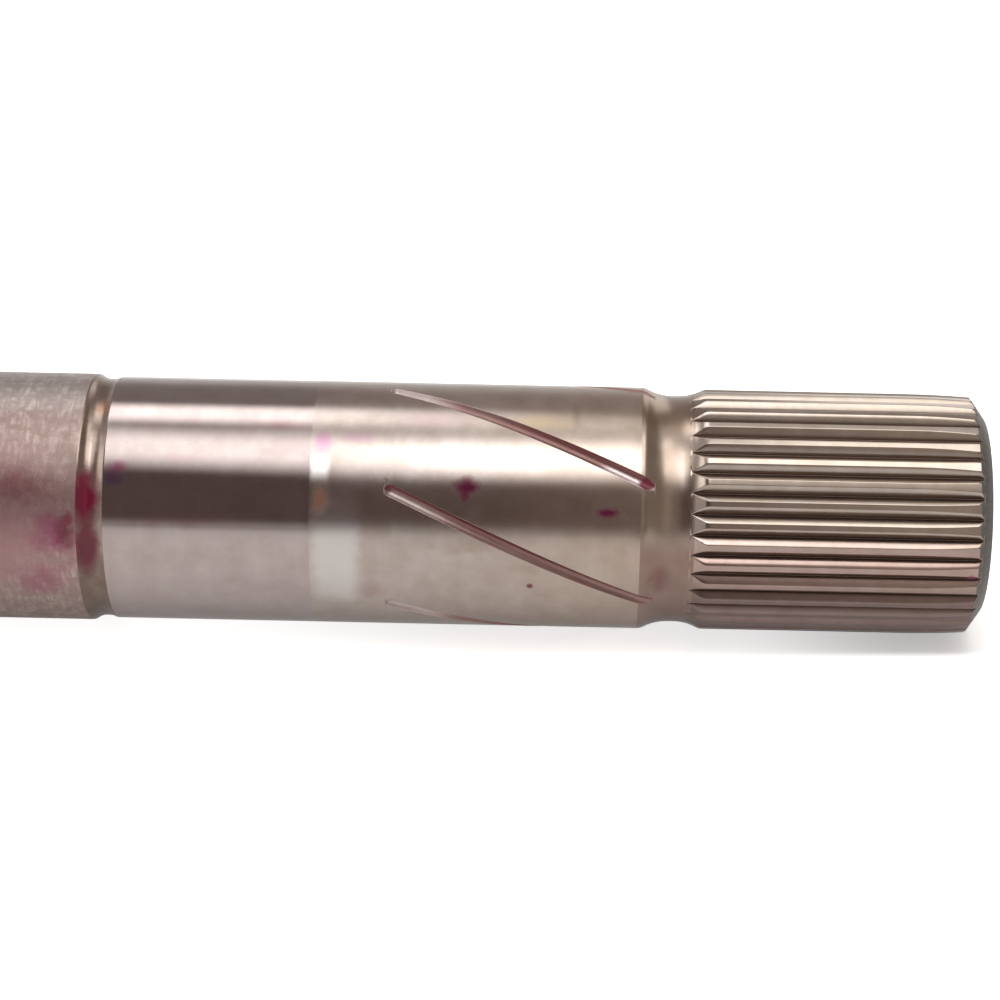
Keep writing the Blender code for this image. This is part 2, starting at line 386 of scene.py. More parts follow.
@dataclass(frozen=True)
class OilGrooves:
    """The ball-nosed helical grooves, which run from the middle of the journal out into the neck."""

    count: int = 6
    width: float = 1.75
    depth: float = 0.7
    lead: float = 259.0
    clocking: float = 30.4
    reach: float = 38.3
    walls: int = 5
    edge_drop: float = 0.03
    edge_width: float = 0.06
    edge_guard: float = 0.05
    lead_in: float = 0.55
    least_width: float = 0.02
    least_share: float = 0.08
    ring_step: float = 1.7
    nose: tuple[float, ...] = (-0.98, -0.92, -0.8, -0.64, -0.432, -0.2, 0.0, 0.2, 0.432)

    def start(self, journal: Journal) -> float:
        """Place of the cutter's first stop along X."""
        return journal.outer_end() - self.reach

    def first_ring(self, journal: Journal) -> float:
        """Place of the last whole ring before the grooves."""
        return self.start(journal) - self.width * self.lead_in

    def ball(self) -> float:
        """Radius of the cutter's ball nose."""
        half = self.width / 2
        return (half**2 + self.depth**2) / (2 * self.depth)

    def angle_at(self, x: float, journal: Journal) -> float:
        """Angle of the first groove's centre line at a place along X."""
        return self.clocking + 360 * (x - self.start(journal)) / self.lead

    def half_width_at(self, drop: float) -> float:
        """Half the groove's width where the shaft's surface lies this far below the journal's."""
        rise = drop + self.ball() - self.depth
        return math.sqrt(max(self.ball() ** 2 - rise**2, 0))

    def depth_at(self, distance: float) -> float:
        """Depth of the groove below the journal at a distance from its centre line."""
        return math.sqrt(max(self.ball() ** 2 - distance**2, 0)) - self.ball() + self.depth

    def section(self, x: float, surface: float, journal: Journal) -> list[tuple[float, float]] | None:
        """The groove's section at a place along X, as corners from one edge to the other.

        Args:
            x: the place.
            surface: radius of the turned surface there.
            journal: the journal that the groove is cut in.

        Returns:
            Each corner's angle from the centre line and its depth below the journal, or None
            where the surface lies below the groove's floor.
        """
        half = self.half_width_at(journal.radius - surface)
        if half < self.width * self.least_width:
            return None
        tilt = math.tau * journal.radius / self.lead
        cosine = 1 / math.hypot(1, tilt)
        sine = tilt * cosine
        along = x - self.start(journal)
        low, high = -half / cosine, half / cosine
        if along < half * sine:
            low = -math.sqrt(max(half**2 - along**2, 0)) - tilt * along
        if along < -half * sine:
            high = math.sqrt(max(half**2 - along**2, 0)) - tilt * along
        edge_angle = math.asin(min(half / self.ball(), 1.0))
        corners = []
        for wall in range(-self.walls, self.walls + 1):
            share = math.sin(edge_angle * wall / self.walls) / math.sin(edge_angle)
            across = (low + high) / 2 + (high - low) / 2 * share
            side = across + tilt * along
            if along * cosine + side * sine < 0:
                distance = math.hypot(along, side)
            else:
                distance = abs(side * cosine - along * sine)
            corners.append((math.degrees(across / surface), self.depth_at(min(distance, half))))
        return corners

    def cut(self, skin: Skin, ring: int, middle: int, journal: Journal) -> None:
        """Sinks the groove into one ring of a sector's skin.

        Args:
            skin: the sector.
            ring: index of the ring.
            middle: index of the corner on the groove's centre line.
            journal: the journal that the groove is cut in.
        """
        station = skin.rings[ring]
        corners = self.section(station.x, station.radius, journal)
        if corners is None:
            return
        rim = math.degrees(self.edge_width / station.radius)
        guard = math.degrees(self.edge_guard / station.radius)
        for wall, (angle, depth) in zip(range(-self.walls, self.walls + 1), corners):
            edge = abs(wall) == self.walls
            radius = journal.radius - depth - (self.edge_drop if edge else 0)
            turn = angle - wall * COLUMN_ANGLE
            share = max(depth / self.depth, self.least_share)
            skin.shape(ring, middle + wall, turn, min(radius, station.radius), share, wall / self.walls)
        for side, (angle, _) in ((-1, corners[0]), (1, corners[-1])):
            for beyond, out in ((1, rim), (2, rim + guard)):
                wall = side * (self.walls + beyond)
                turn = angle + side * out - wall * COLUMN_ANGLE
                skin.shape(ring, middle + wall, turn, station.radius, 0, side)


@dataclass(frozen=True)
class Spline:
    """The involute spline with its fillet roots, its crowned lead-in and its run-out in the neck.

    The teeth are thicker than the standard's by the thickening, and their lands wider by as much.
    """

    teeth: int = 35
    pressure_angle: float = 45.0
    addendum: float = 0.5
    dedendum: float = 0.63
    form_depth: float = 0.5
    length: float = 43.75
    clocking: float = 9.36
    lead_length: float = 10.3
    lead_depth: float = 0.31
    chamfer_length: float = 2.3
    chamfer_depth: float = 3.24
    runout_overtravel: float = 1.25
    runout_radius: float = 4.0
    clearance: float = 0.1
    root_corners: int = 3
    flank_corners: int = 3
    edge_drop: float = 0.035
    edge_share: float = 0.15
    edge_width: float = 0.08
    edge_guard: float = 0.05
    thickening: float = 0.36
    neck_start: float = 0.27
    neck_rings: tuple[int, int] = (3, 15)
    settled: float = 0.3
    lead_rings: tuple[float, ...] = (0.25, 0.5, 0.7, 0.85, 0.95, 1.0)
    chamfer_rings: tuple[float, ...] = (0.03, 0.2, 0.36, 0.52, 0.68, 0.84, 0.97, 1.08)
    face_break: float = 0.1
    face_break_rise: float = 0.14

    @property
    def module(self) -> float:
        """Pitch diameter over the number of teeth."""
        return INCH / 24

    @property
    def pitch_radius(self) -> float:
        """Radius of the pitch circle."""
        return self.teeth * self.module / 2

    @property
    def radius(self) -> float:
        """Radius over the teeth."""
        return self.pitch_radius + self.module * self.addendum

    @property
    def root_radius(self) -> float:
        """Radius at the bottom of the tooth spaces."""
        return self.pitch_radius - self.module * self.dedendum

    @property
    def form_radius(self) -> float:
        """Radius at which the flank meets the root fillet."""
        return self.pitch_radius - self.module * self.form_depth

    def space_half_angle(self, radius: float) -> float:
        """Half of the angle in radians that a tooth space takes at a radius."""
        pressure = math.radians(self.pressure_angle)
        local = math.acos(min(1.0, self.pitch_radius * math.cos(pressure) / radius))
        tooth = math.pi / (2 * self.teeth) + math.tan(pressure) - pressure - (math.tan(local) - local)
        return math.pi / self.teeth - tooth - self.thickening / (2 * self.pitch_radius)

    def outline(self, place: float) -> tuple[float, float]:
        """A point of half a tooth space's outline.

        Args:
            place: 0 at the middle of the root, then 1 more at each corner up the fillet and the flank.

        Returns:
            The point's distance across from the space's middle, and out from the axis.
        """
        half = self.space_half_angle(self.form_radius)
        half_width, form_height = self.form_radius * math.sin(half), self.form_radius * math.cos(half)
        rise = form_height - self.root_radius
        arc_radius = (half_width**2 + rise**2) / (2 * rise)
        if place <= self.root_corners:
            angle = 2 * math.atan2(rise, half_width) * place / self.root_corners
            return arc_radius * math.sin(angle), self.root_radius + arc_radius * (1 - math.cos(angle))
        share = (place - self.root_corners) / self.flank_corners
        radius = self.form_radius + (self.radius + self.clearance - self.form_radius) * share
        angle = self.space_half_angle(radius)
        return radius * math.sin(angle), radius * math.cos(angle)

    def corner(self, place: float, before_full_depth: float) -> tuple[float, float]:
        """A point of the outline as (angle in degrees, radius), lifted where the space runs out.

        Args:
            place: as in outline().
            before_full_depth: length along X from here to where the space has its full depth.

        Returns:
            The corner's angle from the middle of the space, and its radius.
        """
        across, out = self.outline(place)
        if before_full_depth > 0:
            reach = self.runout_radius - (out - self.root_radius)
            drop = math.sqrt(max(reach**2 - before_full_depth**2, 0))
            out = self.root_radius + self.runout_radius - drop
        return math.degrees(math.atan2(across, out)), math.hypot(across, out)

    def edge_place(self, surface: float, before_full_depth: float) -> float:
        """Where on the outline the space meets a turned surface of this radius, 0 where it is closed."""
        low, high = 0.0, float(self.root_corners + self.flank_corners)
        if self.corner(low, before_full_depth)[1] >= surface:
            return 0.0
        for _ in range(SEARCH_STEPS):
            middle = (low + high) / 2
            if self.corner(middle, before_full_depth)[1] < surface:
                low = middle
            else:
                high = middle
        return (low + high) / 2

    def stations(self, neck: Relief, floor_end: float) -> list[Station]:
        """Rings from the end of the neck's floor over the run-out and the teeth to the end face."""
        start = floor_end + neck.reach(self.radius)
        face = start + self.length
        chamfer = face - self.chamfer_length
        reach = neck.reach(self.radius)
        coarse, fine = self.neck_rings
        runs = spread(0, reach * self.neck_start, coarse) + spread(reach * self.neck_start, reach, fine)
        rings = [Station(floor_end, neck.floor_radius)]
        rings += [Station(floor_end + run, neck.radius_at(run, self.radius)) for run in runs]
        rings += [Station(place, self.radius) for place in (start + self.settled, chamfer - self.lead_length)]
        rings += [
            Station(chamfer - self.lead_length * (1 - share), self.radius - self.lead_depth * share**2)
            for share in self.lead_rings
        ]
        slope = self.chamfer_depth / self.chamfer_length
        closed = (self.radius - self.lead_depth - self.root_radius) / slope
        rings += [
            Station(chamfer + closed * share, self.radius - self.lead_depth - closed * share * slope)
            for share in self.chamfer_rings
        ]
        rim = self.radius - self.lead_depth - self.chamfer_depth
        rings += [Station(face - self.face_break, rim + self.face_break_rise)]
        rings += [Station(face, rim - self.face_break)]
        return rings

    def cut(self, skin: Skin, ring: int, full_depth: float) -> None:
        """Sinks a tooth space into one ring of a sector's skin.

        Args:
            skin: the sector, from the middle of one tooth to the middle of the next.
            ring: index of the ring.
            full_depth: place along X where the spaces have their full depth.
        """
        station = skin.rings[ring]
        before = full_depth - station.x
        edge = self.edge_place(station.radius, before)
        if edge <= 0:
            return
        corners = self.root_corners + self.flank_corners
        middle = skin.columns // 2
        full = self.radius - self.root_radius
        local = station.radius - self.corner(0, before)[1]
        drop = min(self.edge_drop, local * self.edge_share)
        for side in (-1, 1):
            for corner in range(corners + 1):
                if side < 0 and corner == 0:
                    continue
                angle, radius = self.corner(edge * corner / corners, before)
                share = (self.radius - radius) / full
                if corner == corners:
                    radius -= drop
                turn = side * (angle - corner * COLUMN_ANGLE)
                skin.shape(ring, middle + side * corner, turn, radius, share, side * corner / corners)
            width = min(self.edge_width, local)
            for outer, reach in ((corners + 1, width), (corners + 2, width + self.edge_guard)):
                rim = angle + math.degrees(reach / station.radius)
                turn = side * (rim - outer * COLUMN_ANGLE)
                skin.shape(ring, middle + side * outer, turn, station.radius, 0, side)


@dataclass
class AxleShaft:
    """The whole shaft, as one welded skin."""

    overall_length: float = 440.0
    neck_floor_length: float = 1.0
    neck_rings: tuple[int, int] = (3, 9)
    seam: float = 0.15
    edge_break: float = 0.05
    end_face_radius: float = 15.0
    spline_finish_lead: float = 2.2
    neck: Relief = Relief(17.96, 8.0, 2.5)
    centre: LatheCentre = field(default_factory=LatheCentre)
    bar: ForgedBar = field(default_factory=ForgedBar)
    journal: Journal = field(default_factory=Journal)
    grooves: OilGrooves = field(default_factory=OilGrooves)
    spline: Spline = field(default_factory=Spline)

    def neck_floor(self) -> tuple[float, float]:
        """Places along X where the floor of the neck begins and ends."""
        begin = self.journal.outer_end() + self.neck.reach(self.journal.radius)
        return begin, begin + self.neck_floor_length

    def spline_start(self) -> float:
        """Place along X where the spline's outside begins."""
        return self.neck_floor()[1] + self.neck.reach(self.spline.radius)

    def splined_face(self) -> float:
        """Place of the splined end face along X."""
        return self.spline_start() + self.spline.length

    def groove_end(self) -> float:
        """Place along X where the neck's slope has dropped to the floor of the grooves."""
        drop = self.journal.radius - self.grooves.depth - self.neck.floor_radius
        return self.neck_floor()[0] - math.sqrt(2 * drop * self.neck.form_radius - drop**2)

    def middle_column(self) -> int:
        """Which of the spline's columns the first groove's centre line runs into."""
        angle = self.grooves.angle_at(self.groove_end(), self.journal) - self.spline.clocking
        return round(angle / COLUMN_ANGLE)

    def middle_angle(self, x: float) -> float:
        """Angle at which the groove's middle column lies at a place along X."""
        end = self.groove_end()
        settled = self.neck_floor()[0]
        cut_x = min(max(x, self.grooves.first_ring(self.journal)), end)
        on_groove = self.grooves.angle_at(cut_x, self.journal)
        on_spline = self.spline.clocking + self.middle_column() * COLUMN_ANGLE
        share = min(max((x - end) / (settled - end), 0), 1)
        return on_groove + (on_spline - on_groove) * share

    def bar_skin(self) -> Skin:
        """Draws the plain end, the bar, the undercut and the seal track, as far as the grooves."""
        plain_face = self.splined_face() - self.overall_length
        first = self.grooves.first_ring(self.journal)
        rings = self.centre.stations(plain_face, 1)
        rings += self.bar.stations(plain_face, self.journal)
        rings += [Station(first - self.seam, self.journal.radius), Station(first, self.journal.radius)]
        pole = Station(rings[0].x, self.centre.pilot_radius * WELD)
        skin = Skin("bar", pole, self.middle_angle(first), COLUMNS)
        for station in rings:
            skin.draw(station)
        skin.freeze()
        skin.close(1)
        return skin

    def groove_skin(self) -> Skin:
        """Draws one sixth of the grooved seat and the inner half of the neck, and cuts its groove."""
        journal, grooves = self.journal, self.grooves
        begin, end = self.neck_floor()
        half = grooves.width / 2
        places = [grooves.start(journal) + half * share for share in grooves.nose]
        steps = round((journal.outer_end() - places[-1]) / grooves.ring_step)
        places += spread(places[-1], journal.outer_end() - self.edge_break, steps)
        slope = self.neck.reach(journal.radius)
        coarse, fine = self.neck_rings
        runs = [0.0, *spread(0, slope / 2, coarse), *spread(slope / 2, slope, fine)]
        rings = [Station(x, journal.radius) for x in places]
        rings += [Station(begin - run, self.neck.radius_at(run, journal.radius)) for run in reversed(runs)]
        rings += [Station(end, self.neck.floor_radius)]
        sector = COLUMNS // grooves.count
        middle = sector // 2
        first = grooves.first_ring(journal)
        angle = self.middle_angle(first)
        start = Station(first, journal.radius)
        skin = Skin("grooved_seat", start, angle - middle * COLUMN_ANGLE, sector + 1)
        for station in rings:
            skin.draw(station, self.middle_angle(station.x) - angle)
            angle = self.middle_angle(station.x)
        skin.freeze()
        for ring in range(1, len(skin.rings)):
            grooves.cut(skin, ring, middle, journal)
        skin.close(grooves.count)
        return skin

    def spline_skin(self) -> Skin:
        """Draws one tooth space of the splined end with its share of the neck and the end face."""
        floor_end = self.neck_floor()[1]
        rings = self.spline.stations(self.neck, floor_end)
        toothed = len(rings)
        rings += reversed(self.centre.stations(self.splined_face(), -1))
        rings += [Station(rings[-1].x, self.centre.pilot_radius * WELD)]
        sector = COLUMNS // self.spline.teeth
        skin = Skin("splined_end", rings[0], self.spline.clocking, sector + 1)
        for station in rings[1:]:
            skin.draw(station)
        skin.freeze()
        full_depth = self.spline_start() - self.spline.runout_overtravel
        for ring in range(toothed):
            self.spline.cut(skin, ring, full_depth)
        skin.close(self.spline.teeth)
        return skin

    def weld(self, skins: list[Skin]) -> bpy.types.Object:
        """Joins the skins into one closed piece.

        Args:
            skins: the shaft's lengths, whose end rings meet corner to corner.

        Returns:
            The piece.
        """
        bpy.ops.object.select_all(action="DESELECT")
        for skin in skins:
            skin.body.select_set(True)
        bpy.context.view_layer.objects.active = skins[0].body
        bpy.ops.object.join()
        piece = bpy.context.object
        piece.name = "axle_shaft_finished"
        piece.data.name = piece.name
        bpy.ops.object.mode_set(mode="EDIT")
        bpy.ops.mesh.select_all(action="SELECT")
        bpy.ops.mesh.remove_doubles(threshold=2 * WELD * self.centre.pilot_radius * MM)
        bpy.ops.mesh.normals_make_consistent(inside=False)
        bpy.ops.object.mode_set(mode="OBJECT")
        bpy.ops.object.shade_smooth_by_angle(angle=math.radians(SMOOTH_BELOW))
        return piece

    def build(self) -> bpy.types.Object:
        """Makes the whole piece."""
        return self.weld([self.bar_skin(), self.groove_skin(), self.spline_skin()])

    def finish_at(self, x: float, radius: float, cut: float) -> Finish:
        """Which finish a face has.

        Args:
            x: place of the face's middle along X.
            radius: distance of the face's middle from the axis.
            cut: the face's mean share of a cut's depth.

        Returns:
            The finish.
        """
        chamfer = self.splined_face() - self.spline.chamfer_length
        plain_face = self.splined_face() - self.overall_length
        is_cut = cut > LEAST_CUT
        on_splined_face = x > chamfer and not is_cut
        on_plain_face = x < plain_face + self.bar.end_chamfer
        if on_splined_face or on_plain_face or radius < self.end_face_radius:
            return Finish.END_FACE
        if x > self.neck_floor()[1] and (is_cut or x > self.spline_start() - self.spline_finish_lead):
            return Finish.SPLINE
        if is_cut:
            return Finish.GROOVE
        if x > self.journal.outer_end():
            return Finish.NECK
        if x > self.journal.seal_track_end:
            return Finish.GROUND
        if x > self.journal.inner_end():
            return Finish.SEAL_TRACK
        if x > self.bar.end(self.journal):
            return Finish.UNDERCUT
        return Finish.FORGED

    def dress(self, piece: bpy.types.Object, steels: dict[Finish, bpy.types.Material]) -> None:
        """Gives each face of the piece its finish.

        Args:
            piece: the welded piece.
            steels: the material of each finish.
        """
        for finish in Finish:
            piece.data.materials.append(steels[finish])
        cuts = piece.data.attributes[CUT_ATTRIBUTE].data
        for face in piece.data.polygons:
            middle = face.center / MM
            cut = sum(cuts[corner].value for corner in face.vertices) / len(face.vertices)
            face.material_index = self.finish_at(middle.x, math.hypot(middle.y, middle.z), cut).value
        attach(piece, "root")
        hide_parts("axle_shaft")


class Sheet:
    """Lays out the nodes of a material or a group."""

    def __init__(self, tree: bpy.types.NodeTree) -> None:
        """Takes the tree to work in."""
        self.tree = tree

    def add(self, kind: str, **settings: object) -> bpy.types.Node:
        """Adds a node and sets its own options."""
        node = self.tree.nodes.new(kind)
        for name, value in settings.items():
            setattr(node, name, value)
        return node

    def feed(self, socket: Socket, value: object) -> None:
        """Links a socket to a socket, or sets it to a value."""
        if isinstance(value, bpy.types.NodeSocket):
            self.tree.links.new(value, socket)
        elif isinstance(value, tuple) and len(value) == 3 and socket.type == "RGBA":
            socket.default_value = (*value, 1.0)
        else:
            socket.default_value = value

    def math(self, operation: str, first: Level, second: Level = 0.0, third: Level = 0.0) -> Socket:
        """A Math node's result."""
        node = self.add("ShaderNodeMath", operation=operation)
        for socket, value in zip(node.inputs, (first, second, third)):
            self.feed(socket, value)
        return node.outputs[0]

    def mix(self, share: Level, first: Tint, second: Tint, blend: str = "MIX") -> Socket:
        """One colour mixed over another."""
        node = self.add("ShaderNodeMix", data_type="RGBA", blend_type=blend, clamp_factor=True)
        self.feed(node.inputs["Factor"], share)
        self.feed(node.inputs[6], first)
        self.feed(node.inputs[7], second)
        return node.outputs[2]

    def scale(self, value: Level, low: float, high: float, to_low: float, to_high: float) -> Socket:
        """A value carried smoothly from one range to another, and held at its ends."""
        node = self.add("ShaderNodeMapRange", interpolation_type="SMOOTHSTEP")
        for name, number in (("From Min", low), ("From Max", high), ("To Min", to_low), ("To Max", to_high)):
            node.inputs[name].default_value = number
        self.feed(node.inputs["Value"], value)
        return node.outputs["Result"]

    def noise(self, vector: Socket, scale: float, detail: float, rough: float) -> Socket:
        """A noise texture's level."""
        node = self.add("ShaderNodeTexNoise")
        self.feed(node.inputs["Vector"], vector)
        self.feed(node.inputs["Scale"], scale)
        self.feed(node.inputs["Detail"], detail)
        self.feed(node.inputs["Roughness"], rough)
        return node.outputs[0]

    def group(self, tree: bpy.types.NodeTree, **inputs: object) -> bpy.types.Node:
        """Places a group and feeds its inputs, named with underscores for spaces."""
        node = self.add("ShaderNodeGroup", node_tree=tree)
        for name, value in inputs.items():
            self.feed(node.inputs[name.replace("_", " ")], value)
        return node


def new_group(
    name: str, inputs: dict[str, str], outputs: dict[str, str]
) -> tuple[Sheet, dict[str, Socket], bpy.types.Node]:
    """Starts a shader node group.

    Args:
        name: name of the group.
        inputs: kind of each input socket by its name.
        outputs: kind of each output socket by its name.

    Returns:
        Its sheet, its input sockets by name, and the node that takes its outputs.
    """
    tree = bpy.data.node_groups.new(name, "ShaderNodeTree")
    for label, kind in inputs.items():
        tree.interface.new_socket(name=label, in_out="INPUT", socket_type=f"NodeSocket{kind}")
    for label, kind in outputs.items():
        tree.interface.new_socket(name=label, in_out="OUTPUT", socket_type=f"NodeSocket{kind}")
    sheet = Sheet(tree)
    given = sheet.add("NodeGroupInput")
    result = sheet.add("NodeGroupOutput")
    return sheet, {label: given.outputs[label] for label in inputs}, result


class Effects:
    """The shader node groups that the finishes share."""

    def __init__(self) -> None:
        """Builds each group once."""
        self.place = self._place()
        self.turning = self._turning()
        self.mottle = self._mottle()
        self.stain_and_highlight = self._stain_and_highlight()

    @staticmethod
    def _place() -> bpy.types.NodeTree:
        """Where a point is on the shaft: along X, and round from the photographed side upwards."""
        sheet, given, result = new_group(
            "place_on_shaft", {"Position": "Vector"}, {"Along": "Float", "Around": "Float"}
        )
        parts = sheet.add("ShaderNodeSeparateXYZ")
        sheet.feed(parts.inputs[0], given["Position"])
        x, y, z = parts.outputs
        cosine, sine = math.cos(math.radians(VIEW_ANGLE)), math.sin(math.radians(VIEW_ANGLE))
        toward = sheet.math("ADD", sheet.math("MULTIPLY", y, cosine), sheet.math("MULTIPLY", z, sine))
        upward = sheet.math("SUBTRACT", sheet.math("MULTIPLY", y, sine), sheet.math("MULTIPLY", z, cosine))
        around = sheet.math("MULTIPLY", sheet.math("ARCTAN2", upward, toward), math.degrees(1))
        sheet.feed(result.inputs["Along"], sheet.math("MULTIPLY", x, 1 / MM))
        sheet.feed(result.inputs["Around"], around)
        return sheet.tree

    @staticmethod
    def _turning() -> bpy.types.NodeTree:
        """The fine rings that a tool or a stone leaves round a turned surface."""
        sheet, given, result = new_group(
            "turning_lines",
            {"Position": "Vector", "Lines": "Float", "Break Up": "Float"},
            {"Height": "Float", "Bands": "Float"},
        )
        stretch = sheet.add("ShaderNodeCombineXYZ")
        sheet.feed(stretch.inputs["X"], given["Lines"])
        sheet.feed(stretch.inputs["Y"], given["Break Up"])
        sheet.feed(stretch.inputs["Z"], given["Break Up"])
        scaled = sheet.add("ShaderNodeVectorMath", operation="MULTIPLY")
        sheet.feed(scaled.inputs[0], given["Position"])
        sheet.feed(scaled.inputs[1], stretch.outputs[0])
        sheet.feed(result.inputs["Height"], sheet.noise(scaled.outputs[0], 1.0, 4.0, 0.65))
        broad = sheet.add("ShaderNodeVectorMath", operation="SCALE")
        sheet.feed(broad.inputs[0], scaled.outputs[0])
        sheet.feed(broad.inputs["Scale"], BAND_SCALE)
        sheet.feed(result.inputs["Bands"], sheet.noise(broad.outputs[0], 1.0, 2.0, 0.5))
        return sheet.tree

    @staticmethod
    def _mottle() -> bpy.types.NodeTree:
        """Blotches with a fine grain in them."""
        sheet, given, result = new_group(
            "mottling",
            {"Position": "Vector", "Size": "Float", "Spread": "Float"},
            {"Mask": "Float", "Grain": "Float"},
        )
        scaled = sheet.add("ShaderNodeVectorMath", operation="SCALE")
        sheet.feed(scaled.inputs[0], given["Position"])
        sheet.feed(scaled.inputs["Scale"], sheet.math("DIVIDE", 1 / MM, given["Size"]))
        blotch = sheet.noise(scaled.outputs[0], 1.0, 5.0, 0.6)
        centred = sheet.math("MULTIPLY", sheet.math("SUBTRACT", blotch, 0.5), given["Spread"])
        sheet.feed(result.inputs["Mask"], sheet.scale(centred, -0.5, 0.5, 0.0, 1.0))
        sheet.feed(result.inputs["Grain"], sheet.noise(scaled.outputs[0], GRAIN_SCALE, 3.0, 0.7))
        return sheet.tree

    @staticmethod
    def _stain_and_highlight() -> bpy.types.NodeTree:
        """The soft and ragged patch of a stain, also used for the painted highlights."""
        sheet, given, result = new_group(
            "stain_and_highlight",
            {
                "Position": "Vector",
                "Along": "Float",
                "Around": "Float",
                "Middle Along": "Float",
                "Middle Around": "Float",
                "Half Length": "Float",
                "Half Angle": "Float",
                "Softness": "Float",
                "Ragged": "Float",
                "Squareness": "Float",
            },
            {"Mask": "Float"},
        )
        ragged = sheet.math("SUBTRACT", sheet.noise(given["Position"], RAGGED_SCALE, 5.0, 0.65), 0.5)
        along = sheet.math("SUBTRACT", given["Along"], given["Middle Along"])
        around = sheet.math("SUBTRACT", given["Around"], given["Middle Around"])
        power = given["Squareness"]
        along = sheet.math("ABSOLUTE", sheet.math("DIVIDE", along, given["Half Length"]))
        around = sheet.math("ABSOLUTE", sheet.math("DIVIDE", around, given["Half Angle"]))
        powers = sheet.math("ADD", sheet.math("POWER", along, power), sheet.math("POWER", around, power))
        reach = sheet.math("POWER", powers, sheet.math("DIVIDE", 1.0, power))
        reach = sheet.math("MULTIPLY_ADD", ragged, given["Ragged"], reach)
        inside = sheet.math("DIVIDE", sheet.math("SUBTRACT", 1.0, reach), given["Softness"])
        sheet.feed(result.inputs["Mask"], sheet.scale(inside, 0.0, 1.0, 0.0, 1.0))
        return sheet.tree


class Way(Enum):
    """The ways over the shaft's surface, named as the outputs of the place group."""

    ALONG = "Along"
    AROUND = "Around"


class StainAndHighlightColours(Enum):
    """Colours of the stains: crack-test dye, thinner and thicker, and what else marks the steel; and of two
    painted highlights.
    """

    CRIMSON = (0.18, 0.007, 0.036)
    MAGENTA = (0.28, 0.03, 0.12)
    MAROON = (0.15, 0.014, 0.032)
    INK = (0.13, 0.06, 0.16)
    PINK = (0.45, 0.24, 0.36)
    BLUSH = (0.45, 0.33, 0.335)
    WASH = (0.36, 0.20, 0.21)
    DEEP = (0.14, 0.012, 0.05)
    RUST = (0.36, 0.18, 0.10)
    PALE = (0.60, 0.575, 0.56)
    # A painted highlight: white that carries the bright reflection further down the matte band
    CHALK_HIGHLIGHT = (0.95, 0.93, 0.90)
    # A painted highlight for the lower walls of the grooves, which face up
    LIGHT = (0.85, 0.78, 0.80)
    UMBER = (0.26, 0.20, 0.15)
    GOLD = (0.46, 0.36, 0.22)


@dataclass(frozen=True)
class StainAndHighlight:
    """One mark, a stain or a painted highlight: where it is, how far it reaches, how strong it is, and how
    far it covers the metal.
    """

    along: float
    around: float
    half_length: float
    half_angle: float
    strength: float
    stain_and_highlight_colour: StainAndHighlightColours = StainAndHighlightColours.CRIMSON
    body: float = 1.0
    softness: float = 0.7
    ragged: float = 0.8
    squareness: float = 2.0
    # Keeps the mark to the lower walls of the grooves, as the painted highlight there
    lower_wall: bool = False


@dataclass(frozen=True)
class FilmAndShade:
    """A tint that grows over the steel from one place to another; some are films on the metal, some painted
    shade on one side of the shaft.
    """

    tint: Colour
    way: Way
    start: float
    full: float


